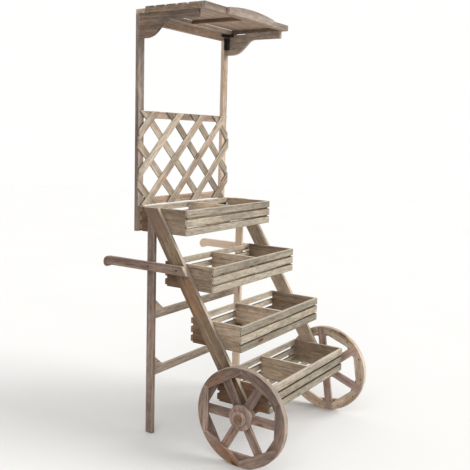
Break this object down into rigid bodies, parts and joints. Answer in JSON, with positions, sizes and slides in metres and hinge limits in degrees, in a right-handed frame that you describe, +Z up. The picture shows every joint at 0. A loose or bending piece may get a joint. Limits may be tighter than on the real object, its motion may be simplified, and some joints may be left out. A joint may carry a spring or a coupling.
{
  "type": "plant trolley",
  "caption": "Weathered timber plant trolley with stepped slatted boxes, spoked wheels, rear legs, push handles, a lattice trellis and a slatted canopy on corbels.",
  "frame": {"origin": "middle of the footprint, on the floor", "axes": "+Z up, +X to the right-hand side across the trolley, parallel to the axle, +Y to the rear, where the handles are"},
  "size_m": [0.808, 0.921, 1.775],
  "materials": {
    "frame_timber": "weathered bare softwood",
    "box_timber": "weathered bare softwood",
    "trellis_timber": "weathered bare softwood laths",
    "roof_timber": "weathered bare softwood",
    "wheel_timber": "weathered bare softwood",
    "axle_timber": "weathered round bar",
    "black_iron": "satin black",
    "screw_steel": "dark plated screw",
    "nail_steel": "dull nail head"
  },
  "bodies": {
    "frame": {"box_1_ends": "box_timber", "box_1_divider": "box_timber", "box_1_front_slats": "box_timber", "box_1_back_slats": "box_timber", "box_1_floor_slats": "box_timber", "box_2_ends": "box_timber", "box_2_divider": "box_timber", "box_2_front_slats": "box_timber", "box_2_back_slats": "box_timber", "box_2_floor_slats": "box_timber", "box_3_ends": "box_timber", "box_3_divider": "box_timber", "box_3_front_slats": "box_timber", "box_3_back_slats": "box_timber", "box_3_floor_slats": "box_timber", "box_4_ends": "box_timber", "box_4_divider": "box_timber", "box_4_front_slats": "box_timber", "box_4_back_slats": "box_timber", "box_4_floor_slats": "box_timber", "stringer_left": "frame_timber", "leg_left": "frame_timber", "handle_left": "frame_timber", "post_left": "frame_timber", "corbel_left": "roof_timber", "stringer_right": "frame_timber", "leg_right": "frame_timber", "handle_right": "frame_timber", "post_right": "frame_timber", "corbel_right": "roof_timber", "axle": "axle_timber", "axle_collars": "wheel_timber", "crossbar_upper": "frame_timber", "crossbar_lower": "frame_timber", "gussets": "frame_timber", "handle_screws": "screw_steel", "slat_nails": "nail_steel", "post_packers": "frame_timber", "trellis_rail_top": "trellis_timber", "trellis_rail_bottom": "trellis_timber", "laths_front": "trellis_timber", "laths_back": "trellis_timber", "roof_battens": "roof_timber", "roof_slats": "roof_timber", "roof_rear_board": "roof_timber", "roof_rear_rail": "roof_timber", "fascia": "roof_timber", "fascia_arch": "roof_timber", "corner_irons": "black_iron", "iron_screws": "screw_steel"},
    "wheel_left": {"felloes_left": "wheel_timber", "rim_backing_left": "wheel_timber", "spokes_left": "wheel_timber", "hub_left": "wheel_timber", "rim_screws_left": "screw_steel"},
    "wheel_right": {"felloes_right": "wheel_timber", "rim_backing_right": "wheel_timber", "spokes_right": "wheel_timber", "hub_right": "wheel_timber", "rim_screws_right": "screw_steel"}
  },
  "joints": [
    {"name": "wheel_left_spin", "type": "hinge", "parent": "frame", "child": "wheel_left", "pos_m": [-0.3705, -0.2645, 0.196], "axis": [1, 0, 0], "continuous": true},
    {"name": "wheel_right_spin", "type": "hinge", "parent": "frame", "child": "wheel_right", "pos_m": [0.3705, -0.2645, 0.196], "axis": [1, 0, 0], "continuous": true}
  ]
}
